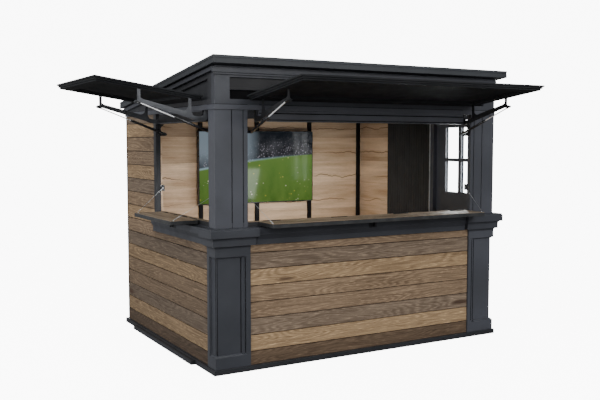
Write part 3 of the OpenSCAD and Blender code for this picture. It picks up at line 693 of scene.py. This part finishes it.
oak = finish_of("oak_lining", wood_pattern(34, 0.16, 0.30, (0.50, 0.42, 0.35),
                                           (1.22, 1.22, 1.22), 0.9, 1.0, 0.5),
                Specular_IOR_Level=0.35)
(oak_outside, oak_front, _), (_, oak_back, _) = limits_of("oak_linings")
(panel_face, panel_start, _), (panel_back, panel_end, _) = limits_of("grooved_panel")
lining, half_joint = panel_back - panel_face, 0.0006
oak_joints = np.array([base_top, 0.2665, 0.537, 0.8075, 1.078, 1.3485, 1.619, 1.8895, wall_head])
oak_rows = np.stack([oak_joints[:-1] + half_joint, oak_joints[1:] - half_joint], -1)
low_rows = np.minimum(oak_rows[:4], wall_top)
# The two top courses are stained darker than the rest: painted shade under the header.
oak_stains = stained([(216, 187, 154), (208, 180, 148), (220, 193, 160), (210, 182, 150),
                      (216, 188, 156), (222, 195, 163), (200, 174, 144), (176, 153, 127)])
back_lining, at_left = oak_back - lining, (oak_outside, oak_outside + lining)
for name, wall, along, courses, seed in (
        ("back_oak", (oak_outside, width - oak_outside, back_lining, oak_back), 0, oak_rows, 41),
        ("right_oak", (panel_face, panel_back, panel_end + 0.0003, back_lining - 0.0003), 1,
         oak_rows, 43),
        ("left_oak", (*at_left, jamb_end + 0.0003, back_lining - 0.0003), 1, oak_rows, 45),
        ("left_low_oak", (*at_left, oak_front, jamb_end), 1, low_rows, 47)):
    boards(name, [(*wall, *course) for course in courses], along, 2, oak, "shed",
           *(["oak_linings"] if name == "back_oak" else []), stain=oak_stains[:len(courses)],
           ease=0.0008, seed=seed)
dark_wood = finish_of("dark_panel.batten", paint_pattern((12, 11, 11), (17, 15, 15)),
                      Specular_IOR_Level=0.12)
eased("battens", 0.002, dark_wood)


# ---- Grooved panel ----
# Beside the door the wall is covered with a dark board milled with upright grooves, and
# a bright metal trim finishes its edge at the door.

def upright_grooves(start, end, pitch, half_groove, deep, thick):
    """The board's level section: its face steps in by deep, on two slopes, at each pitch, and
    its back is straight."""
    centre = np.arange(start + pitch / 2, end - half_groove, pitch)
    steps = np.array([(-half_groove, 0), (-half_groove * 0.4, deep), (half_groove * 0.4, deep),
                      (half_groove, 0)])
    face = (steps[None] + np.stack([centre, centre * 0], -1)[:, None]).reshape(-1, 2)
    return np.vstack([[(start, 0)], face, [(end, 0), (end, thick), (start, thick)]])


dark_board = finish_of("dark_panel", paint_pattern((31, 32, 33), (38, 39, 41), 0.55),
                       Specular_IOR_Level=0.3)
section = upright_grooves(panel_start, panel_end, 0.0412, 0.004, 0.005, lining)
rings = np.stack([np.stack([panel_face + section[:, 1], section[:, 0], section[:, 0] * 0 + z], -1)
                  for z in (base_top, wall_head)])
ringed("grooved_board", rings, dark_board, "shed", "grooved_panel")
bare_steel = finish_of("bare_steel", steel_pattern((176, 178, 180), (204, 206, 208), 0.42),
                       Metallic=0.6)
boards("door_trim", [(panel_face - 0.008, panel_face - 0.0002, 0.862, 0.872,
                      floor_top + 0.0003, 2.0547)], 2, 1, bare_steel, "shed", ease=0.001)


# ---- Television ----
# A flat television hangs on a wall plate between the battens: a thin black plastic case
# with a glass front. It shows a made-up evening meadow with strewn flowers.

plastic = finish_of("screen_black", paint_pattern((14, 14, 15), (20, 20, 22), 0.3))
(tv_start, tv_face, tv_foot), (tv_end, tv_back, tv_top) = limits_of("tv")
tv_middle, tv_height = (tv_start + tv_end) / 2, (tv_foot + tv_top) / 2
tv_corner, picture_inset = 0.010, 0.0095


def frame_ring(shrink, y):
    """A rectangle with quarter-round corners, drawn in by shrink, at the depth y."""
    turn = np.linspace(0, 2 * math.pi, 24, endpoint=False) + math.pi / 24
    quarter = np.floor(turn / (math.pi / 2)) * (math.pi / 2) + math.pi / 4
    reach = np.array([tv_end - tv_middle, tv_top - tv_height]) - shrink - tv_corner
    x = tv_middle + np.sign(np.cos(quarter)) * reach[0] + tv_corner * np.cos(turn)
    z = tv_height + np.sign(np.sin(quarter)) * reach[1] + tv_corner * np.sin(turn)
    return np.stack([x, np.full_like(x, tv_face + y), z], -1)


ringed("tv_case", [frame_ring(shrink, y) for shrink, y in (
    (0.010, 0.0496), (0.0, 0.043), (0.0, 0.0018), (0.0016, 0.0002), (0.0080, 0.0002),
    (0.0086, 0.0022))], plastic, "shed", "tv")
boards("tv_plate", [(tv_middle - 0.25, tv_middle + 0.25, tv_face + 0.0498, tv_back, 1.43, 1.68)],
       0, 2, black_steel, "shed")


def picture_pattern(where):
    """A meadow under dusk: green with yellow and white flowers up to a pale crest, then dark
    trees with far lights, and mist at the left."""
    across = where.along(0).between(tv_start + corner[0], tv_end + corner[0])
    up = where.along(2).between(tv_foot, tv_top)
    crest = across * 0.16 + across.math("SINE", across * 2.4) * 0.05 + 0.475
    land = (up - crest).between(-0.004, 0.004, 1.0, 0.0)
    grass = where.stretched((5.0, 0.0, 3.0)).noise(1.0, 5, 0.6).between(0.3, 0.7)
    green = grass.blend(shade(62, 101, 36), shade(108, 135, 62))
    green = up.between(0.0, 0.75).blend(green, shade(108, 143, 70))
    flowers = where.stretched((19.0, 0.0, 23.0)).spots(1.0).between(0.14, 0.22, 1.0, 0.0)
    patch = where.stretched((2.6, 0.0, 4.2)).noise(1.0, 2).between(0.46, 0.54)
    kinds = where.stretched((6.0, 0.0, 6.0)).noise(1.0, 1).between(0.45, 0.55)
    patch = patch * across.between(0.66, 0.92, 1.0, 0.15)
    green = (flowers * patch).blend(green, kinds.blend(shade(232, 214, 84), shade(226, 226, 190)))
    lights = where.stretched((48.0, 0.0, 40.0)).spots(1.0).between(0.15, 0.40, 1.0, 0.0)
    trees = where.stretched((9.0, 0.0, 7.0)).noise(1.0, 5, 0.7).between(0.35, 0.7)
    dusk = trees.blend(shade(24, 27, 31), shade(82, 83, 88))
    low = (up - crest).between(0.0, 0.30, 1.0, 0.12)
    dusk = (lights * low * trees.between(0.0, 0.5)).blend(dusk, shade(166, 160, 172))
    dusk = up.between(0.78, 0.98).blend(dusk, shade(27, 32, 38))
    mist = across.between(0.40, 0.52, 1.0, 0.0) * up.between(0.45, 0.7)
    dusk = (mist * 0.8).blend(dusk, shade(144, 159, 171))
    picture = land.blend(dusk, green)
    rim = abs(up - crest).between(0.0, 0.022, 1.0, 0.0) * across.between(0.9, 0.2)
    picture = (rim * 0.75).blend(picture, shade(176, 208, 224))
    return {"Base Color": picture.stretched((0.15, 0.15, 0.15)), "Emission Color": picture}


picture = finish_of("screen_black.picture", picture_pattern, Emission_Strength=0.62,
                    Roughness=0.09, Specular_IOR_Level=0.12)
boards("tv_picture", [(tv_start + picture_inset, tv_end - picture_inset, tv_face + 0.0015,
                       tv_face + 0.0040, tv_foot + picture_inset, tv_top - picture_inset)],
       0, 2, picture, "shed", ease=0.0004)


# ---- Flap and strut mountings ----
# Plates of cut steel, coated black, are screwed to the jambs. They hold the pins of the
# flap arms and of the gas struts; the shelf cables hang from bolted plates below.

for name in ("flap_mountings", "cable_anchors"):
    eased(name, steel_ease, black_steel)
screw_head = ((0.0052, 0.0), (0.0052, 0.0006), (0.0040, 0.0018), (0.0020, 0.0024),
              (0.0012, 0.0016))
pivot_pin, arm_pin, strut_pin = (0.050, 2.120), (-0.527, 2.143), (0.075, 1.915)
anchor_bolt = (0.082, 1.415)


def nut(radius, side, face, height):
    """A six-sided nut's outline: its side, the slope to its face, and the face round its hole."""
    return [(radius, 0.0), (radius, side), (face, height - 0.0002), (0.0030, height)]


def at_jambs(side, name, outline, reach, spots, finish, body="shed", around=6):
    """Turned pieces at the (depth, height) spots beside both ends of an opening: each points
    into the opening and starts at its reach from the jamb."""
    for tag, jamb, way in zip(("near", "far"), openings[side], (1, -1)):
        left = side == "left"
        turned(f"{side}_{tag}_{name}", outline,
               turned_to_left([(jamb + way * reach, *spot) for spot in spots], left),
               turned_to_left((way, 0, 0), left), finish, body, around=around)


anchor_screws = [(anchor_bolt[0] + y, anchor_bolt[1] + z)
                 for y in (-0.014, 0.014) for z in (-0.020, 0.020)]
for side in openings:
    at_jambs(side, "bracket_screws", screw_head, 0.005,
             [(0.048, 1.988), (0.086, 1.990), (0.050, 1.958), (0.048, 1.902)], black_steel,
             around=10)
    at_jambs(side, "anchor_bolt", nut(0.0088, 0.0052, 0.0074, 0.0064), 0.0081, [anchor_bolt],
             bare_steel)
    at_jambs(side, "anchor_screws", screw_head, 0.004, anchor_screws, bare_steel, around=10)
    at_jambs(side, "strut_nut", nut(0.0085, 0.0050, 0.0074, 0.0062), 0.0642, [strut_pin],
             black_steel)


# ---- Flaps ----
# Each flap is a painted panel with a mitred rim and a stepped crown round its top. A
# thin bead frames the sunk panel underneath, and screws hold the rim to the panel.

flap_black = finish_of("flap_paint", paint_pattern((35, 36, 38), (42, 43, 45), 0.82),
                       Specular_IOR_Level=0.07)


def on_flap(tilt, left):
    """Lays (along the opening, out from the pivot, up from the pivot) onto an open flap: the
    last two are turned up by the tilt and measured from the pivot."""
    c, s = math.cos(math.radians(tilt)), math.sin(math.radians(tilt))

    def lay(points):
        x, out, up = np.moveaxis(np.asarray(points, float), -1, 0)
        laid = np.stack([x, pivot_pin[0] - (out * c - up * s), pivot_pin[1] + out * s + up * c],
                        -1)
        return turned_to_left(laid, left)
    return lay


def bead(size):
    """A half-round strip hung from the level it is laid on."""
    turn = np.linspace(0, math.pi, 7)
    curve = np.stack([-size * np.cos(turn), -size * np.sin(turn)], -1)
    return np.vstack([curve, [(size, 0.0008), (-size, 0.0008)]])


rim, panel_out, panel_up, screws_in = 0.121, (0.177, 0.799), 0.059, 0.060
for side, tilt in (("front", 7.0), ("left", 8.5)):
    flap, left = side + "_flap", side == "left"
    eased(flap, 0.002, flap_black, 3)
    lay = on_flap(tilt, left)
    x0, x1 = limits_of(flap)[:, 1 if left else 0]
    inner = [(x0 + rim, panel_out[0], panel_up), (x1 - rim, panel_out[0], panel_up),
             (x1 - rim, panel_out[1], panel_up), (x0 + rim, panel_out[1], panel_up)]
    beading(flap + "_bead", bead(0.0055), inner, flap_black, flap, loop=True, lay=lay)
    fixings = [(x, out, 0.037) for x in np.linspace(x0 + screws_in, x1 - screws_in, 6)
               for out in (0.108, 0.860)]
    turned(flap + "_screws", screw_head, lay(fixings), lay((0, 0, -1)) - lay((0, 0, 0)),
           black_steel, flap, around=10)


# ---- Flap arms ----
# A pair of arms, cut from 8 mm steel bar, carries each flap. The front arms are coated black; the
# left arms take a lighter grey copy of the black coat, painted light where the left side is lit.
# Each hooks under the band and up behind it to its pivot, where a nut holds it.

# The lighter grey on the left arms is painted light: it stands for the light falling on them from
# the left.
lit_arm_grey = finish_of("black_metal.arm", steel_pattern((71, 73, 77), (80, 82, 86), 0.5),
                     Metallic=0.1, Specular_IOR_Level=0.35)
for side in openings:
    eased(side + "_flap_arms", 0.0012, lit_arm_grey if side == "left" else black_steel)
    at_jambs(side, "arm_nuts", nut(0.0095, 0.0056, 0.0080, 0.0070), 0.0821,
             [pivot_pin, arm_pin], black_steel, side + "_flap")


# ---- Gas struts ----
# A sealed black cylinder hangs from the jamb and pushes a ground and polished rod against
# the arm. Both ends have a forged eye on a pin, and the cylinder's mouth is rolled in.

# The rod's near-white, mostly matt colour is a painted reflection: it stands for the bright
# reflections of polished chrome.
chrome_painted_reflection = finish_of("polished_rod", steel_pattern((236, 237, 238), (246, 246, 247), 0.3),
                   Metallic=0.25)
gas_black = finish_of("black_metal.cylinder", paint_pattern((20, 20, 22), (28, 28, 30), 0.28),
                      Coat_Weight=0.3)
strut_reach = 0.056
slope = np.array(arm_pin) - strut_pin
strut_length = float(np.linalg.norm(slope))
slope /= strut_length
for side, (start, end) in openings.items():
    left = side == "left"
    eased(side + "_strut_cylinders", steel_ease, gas_black)
    axis = turned_to_left((0, *slope), left)
    feet = turned_to_left([(x, *strut_pin) for x in (start + strut_reach, end - strut_reach)],
                          left)
    turned(side + "_strut_rod", [(0.0030, 0.2890), (0.0050, 0.2898),
                                 (0.0050, strut_length - 0.009), (0.0030, strut_length - 0.008)],
           feet, axis, chrome_painted_reflection, side + "_rods", side + "_strut_rods", around=20)
    at_jambs(side, "strut_eye",
             [(0.0030, -0.0075), (0.0084, -0.0075), (0.0092, -0.0066), (0.0092, 0.0066),
              (0.0084, 0.0075), (0.0049, 0.0076), (0.0049, 0.0176), (0.0030, 0.0177)],
             strut_reach, [arm_pin], black_steel, side + "_rods", around=20)
    for tag, foot in zip(("near", "far"), feet):
        turned(f"{side}_{tag}_strut_collar", [(0.0116, 0.296), (0.0122, 0.298), (0.0122, 0.306),
                                              (0.0116, 0.308)], foot, axis, gas_black,
               side + "_struts", around=28)
        turned(f"{side}_{tag}_strut_socket", [(0.0058, 0.0), (0.0074, 0.001), (0.0074, 0.022),
                                              (0.0056, 0.023)],
               foot + axis * (strut_length - 0.034), axis, black_steel, side + "_rods",
               around=20)


# ---- Shelves ----
# The fold-up shelves have a dark metal-edged core with worn oak boards on top. They turn
# on hinges behind the counter's edge and hang from thin wire ropes at both ends.

shelf_edge = finish_of("flap_paint.shelf", steel_pattern((50, 51, 52), (62, 63, 64), 0.38),
                       Metallic=0.4)
shelf_runs = {"front": limits_of("front_shelf")[:, 0], "left": limits_of("left_shelf")[:, 1]}
(_, outer, shelf_foot), (_, inner, shelf_top) = limits_of("front_shelf")
board_foot, half_joint = shelf_top - 0.0034, 0.0004
board_edges = (outer + 0.003, -0.108, -0.027, inner - 0.001)
for side, (start, end) in shelf_runs.items():
    shelf, left = side + "_shelf", side == "left"
    core = [(start, end, outer, inner, shelf_foot, board_foot - air)]
    tops = [(start + 0.003, end - 0.003, a + half_joint, b - half_joint, board_foot, shelf_top)
            for a, b in zip(board_edges[:-1], board_edges[1:])]
    boards(shelf + "_core", turned_to_left(core, left), int(left), 1 - left, shelf_edge, shelf,
           shelf, ease=0.0025)
    boards(shelf + "_top", turned_to_left(tops, left), int(left), 1 - left, counter_oak, shelf,
           stain=stained([(134, 119, 100), (124, 110, 92), (138, 123, 103)]), ease=0.0008,
           seed=51 + left)


# ---- Shelf cables ----
# Each shelf hangs from two 3 mm steel wire ropes. A pressed sleeve closes each end, and
# the lower one runs to an eye screwed into the shelf near its outer corner.

def rope(start, end, radius=0.0014, lay_length=0.018, strands=6):
    """A laid rope between two points: its section is a circle whose radius rises and falls
    once for each strand, and it turns steadily along the rope."""
    length = np.linalg.norm(end - start)
    axis = (end - start) / length
    side = np.cross(axis, (0, 0, 1))
    side /= np.linalg.norm(side)
    other = np.cross(axis, side)
    run = np.linspace(0, length, int(length / 0.003) + 2)
    turn = np.linspace(0, 2 * math.pi, strands * 2, endpoint=False)
    lobed = radius * (1 + 0.12 * np.cos(strands * turn))
    twist = (turn[None] + run[:, None] / lay_length * 2 * math.pi)[..., None]
    spoke = lobed[None, :, None] * (np.cos(twist) * side + np.sin(twist) * other)
    return start + run[:, None, None] * axis + spoke


wire_steel = finish_of("polished_rod.cable",
                       steel_pattern((168, 170, 172), (206, 207, 208), 0.3), Metallic=0.9)
anchor_reach, eye_in, eye_spot = 0.0098, 0.012, (-0.160, 1.204)
sleeve = [(0.0016, 0.0), (0.0027, 0.001), (0.0027, 0.015), (0.0016, 0.016)]
for side, (start, end) in shelf_runs.items():
    shelf, left = side + "_shelf", side == "left"
    jambs = openings[side]
    tops = turned_to_left([(x, *anchor_bolt) for x in (jambs[0] + anchor_reach,
                                                       jambs[1] - anchor_reach)], left)
    feet = turned_to_left([(x, *eye_spot) for x in (start + eye_in, end - eye_in)], left)
    for k, (top, foot) in enumerate(zip(tops, feet)):
        ringed(f"{shelf}_rope_{k + 1}", rope(top, foot), wire_steel, shelf,
               *([shelf + "_cables"] if k == 0 else []))
        axis = (foot - top) / np.linalg.norm(foot - top)
        turned(f"{shelf}_sleeve_{k + 1}", sleeve, [top + axis * 0.012, foot - axis * 0.030],
               axis, wire_steel, shelf, around=12)
    turned(shelf + "_eyes", [(0.0060, -0.006), (0.0060, -0.0048), (0.0034, -0.004),
                             (0.0030, -0.002), (0.0042, 0.0), (0.0030, 0.0022)],
           feet, (0, 0, 1), bare_steel, shelf, around=14)


# ---- Door ----
# The door is a painted leaf with four glazed panes over a boarded lower part. It hangs on
# three strap hinges that drop over pintles, and a lever handle works its latch.

def glass_pattern(where):
    """Clear float glass with the faint streaks of a wiped pane."""
    streaks = where.stretched((2.0, 2.0, 9.0)).noise(3.0, 4)
    return {"Roughness": streaks.between(0.4, 0.8, 0.0, 0.05),
            "Base Color": where.noise(2.0, 2).blend(shade(240, 246, 245), shade(250, 252, 252))}


eased("door_leaf", 0.0015, charcoal)
eased("door_glass", 0.0004, finish_of("clear_glass", glass_pattern, Transmission_Weight=1.0,
                                      IOR=1.02))
eased("door_handle", 0.0015, bare_steel)
for name in ("door_hinges", "door_pintles"):
    eased(name, steel_ease, black_steel)
straps = (0.25, 1.05, 1.85)
turned("door_hinge_screws", screw_head,
       [(2.905, 0.812 - back, z + 0.030) for z in straps for back in (0.035, 0.070, 0.110)],
       (1, 0, 0), bare_steel, "door", around=10)
turned("door_pintle_screws", screw_head,
       [(2.906, y, z - 0.005) for z in straps for y in (0.838, 0.862)], (1, 0, 0), bare_steel,
       "shed", around=10)


# ---- Studio ----
# A round white room holds the shed: a level floor that curves up into its wall. Soft lamps
# stand at the left, low and high at the front, and two small ones under the roof.

def sweep_pattern(where):
    """Matt white paper, with a hardly visible mottle."""
    return {"Base Color": where.noise(0.6, 3).between(0.3, 0.7).blend((0.86, 0.86, 0.86, 1),
                                                                      (0.90, 0.90, 0.90, 1)),
            "Roughness": where.noise(2.0, 3).between(0.3, 0.7, 0.85, 0.95)}


bend, sides, floor_reach, bend_radius = np.linspace(0, math.pi / 2, 13)[1:], 48, 18, 6
wall = np.vstack([[(0.5, 0.0), (6.0, 0.0), (floor_reach, 0.0)],
                  np.stack([floor_reach + bend_radius * np.sin(bend),
                            bend_radius - bend_radius * np.cos(bend)], -1),
                  [(24.0, 14.0), (20.0, 24.0), (8.0, 30.0), (0.5, 31.0)]])
turn = np.linspace(0, 2 * math.pi, sides, endpoint=False)
grid = np.stack([wall[:, :1] * np.cos(turn), wall[:, :1] * np.sin(turn),
                 np.broadcast_to(wall[:, 1:], (len(wall), sides))], -1).reshape(-1, 3)
k, j = np.meshgrid(np.arange(len(wall) - 1) * sides, np.arange(sides), indexing="ij")
beside = (j + 1) % sides
quads = np.stack([k + j, k + sides + j, k + sides + beside, k + beside], -1)
quads = quads.reshape(-1, 4).tolist()
quads += [list(range(sides)), list(range(len(grid) - sides, len(grid)))[::-1]]
sweep_mesh = bpy.data.meshes.new("sweep")
sweep_mesh.from_pydata(grid.tolist(), [], quads)
sweep_mesh.shade_smooth()
sweep_mesh.materials.append(finish_of("paper_white", sweep_pattern,
                                      Emission_Color=(1, 1, 1, 1), Emission_Strength=9.0))
sweep = placed("sweep", sweep_mesh)
sweep.visible_diffuse = sweep.visible_glossy = sweep.visible_shadow = False

camera_data = bpy.data.cameras.new("camera")
camera_data.lens = 48.22
camera_data.sensor_width = 36.0
camera = placed("camera", camera_data)
camera.location = (-3.957, -6.826, 1.836)
camera.rotation_euler = (math.pi / 2 - 0.0719, 0, -0.520)
bpy.context.scene.camera = camera

world = bpy.data.worlds.new("studio_air")
world.use_nodes = True
height = Wire(world.node_tree).node("ShaderNodeTexCoord", out=0).along(2)
sky = height.node("ShaderNodeValToRGB", {0: height.between(-1.0, 1.0)}, stops=[
    (0.0, (0.17, 0.17, 0.17, 1)), (0.47, (0.24, 0.24, 0.24, 1)), (0.60, (0.42, 0.43, 0.45, 1)),
    (1.0, (0.86, 0.87, 0.88, 1))])
backdrop = world.node_tree.nodes["Background"]
world.node_tree.links.new(sky.socket, backdrop.inputs[0])
backdrop.inputs[1].default_value = 0.9
bpy.context.scene.world = world

for name, place, aim, size, power in (
        ("key", (-7.0, -3.5, 6.5), (0, 0, 1.0), 3.5, 330),
        ("side", (-7.5, 1.0, 1.5), (-1.4, 0.0, 1.5), 3.0, 250),
        ("low", (-4.6, -8.6, 2.3), (0, 0, 1.7), 2.2, 160),
        ("fill", (1.6, -8.6, 5.2), (0.2, 0, 1.0), 4.0, 400),
        ("room", (0.35, -0.2, 1.32), (0.55, 1.1, 0.9), 0.4, 9.5),
        ("room_left", (-0.9, -0.2, 1.32), (-0.95, 1.1, 0.95), 0.4, 6)):
    light = bpy.data.lights.new(name, "AREA")
    light.energy, light.size = power, size
    lamp = placed(name, light)
    lamp.location = place
    lamp.visible_camera = False
    lamp.rotation_euler = (Vector(aim) - Vector(place)).to_track_quat("-Z", "Y").to_euler()
